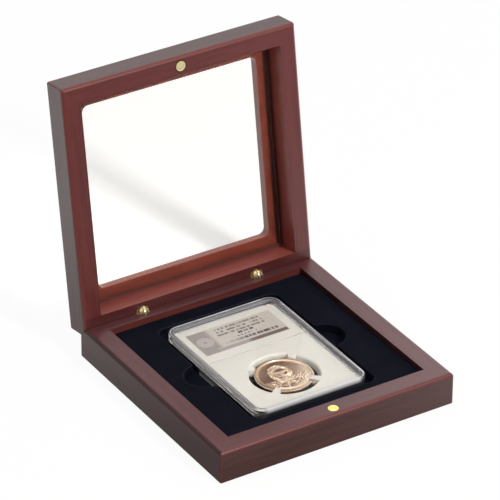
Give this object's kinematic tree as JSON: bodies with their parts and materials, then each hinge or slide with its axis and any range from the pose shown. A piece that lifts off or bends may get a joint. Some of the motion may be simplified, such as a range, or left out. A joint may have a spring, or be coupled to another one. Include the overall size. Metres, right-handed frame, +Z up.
{
  "type": "coin display case",
  "caption": "Small wooden display case with a hinged glazed lid and a velvet insert that holds one encapsulated coin.",
  "frame": {"origin": "middle of the underside, on the surface the case stands on", "axes": "+X to the right and +Y to the back, seen from the front, +Z up; the lid stands open on its stop"},
  "size_m": [0.13, 0.1596, 0.1401],
  "materials": {
    "case_wood": "mahogany stain under satin lacquer",
    "panel_wood": "stained board, satin",
    "underside_felt": "short felt",
    "velvet": "navy velvet pile",
    "window_glass": "clear sheet, polished",
    "hinge_brass": "bright, lightly brushed",
    "catch_brass": "polished",
    "magnet_steel": "plated",
    "slab_clear": "clear, polished",
    "holder_white": "satin",
    "label_print": "printed card, matt",
    "coin_gold": "struck, frosted relief on a brighter field"
  },
  "bodies": {
    "base": {"base_front_rail": "case_wood", "base_back_rail": "case_wood", "base_left_rail": "case_wood", "base_right_rail": "case_wood", "base_panel": "panel_wood", "base_felt": "underside_felt", "insert_floor": "velvet", "insert_frame": "velvet", "base_strike_disc": "catch_brass", "hinge_left_base_barrel": "hinge_brass", "hinge_left_base_leaves": "hinge_brass", "hinge_left_pivot_pin": "hinge_brass", "hinge_left_base_anchor_pin": "hinge_brass", "hinge_right_base_barrel": "hinge_brass", "hinge_right_base_leaves": "hinge_brass", "hinge_right_pivot_pin": "hinge_brass", "hinge_right_base_anchor_pin": "hinge_brass"},
    "lid": {"lid_front_rail": "case_wood", "lid_back_rail": "case_wood", "lid_left_rail": "case_wood", "lid_right_rail": "case_wood", "lid_top_panel": "panel_wood", "glass_pane": "window_glass", "lid_magnet_cup": "catch_brass", "lid_magnet": "magnet_steel", "hinge_left_lid_barrel": "hinge_brass", "hinge_left_lid_leaf": "hinge_brass", "hinge_left_lid_anchor_pin": "hinge_brass", "hinge_right_lid_barrel": "hinge_brass", "hinge_right_lid_leaf": "hinge_brass", "hinge_right_lid_anchor_pin": "hinge_brass"},
    "slab": {"slab_lower_shell": "slab_clear", "slab_upper_shell": "slab_clear", "slab_holder": "holder_white", "slab_label": "label_print", "coin": "coin_gold"}
  },
  "joints": [
    {"name": "lid_hinge", "type": "hinge", "parent": "base", "child": "lid", "pos_m": [0, 0.0599, 0.0173], "axis": [1, 0, 0], "range_deg": [0, 98.4]},
    {"name": "slab_lift", "type": "slide", "parent": "base", "child": "slab", "axis": [0, 0, 1], "range_m": [0, 0.008]}
  ]
}
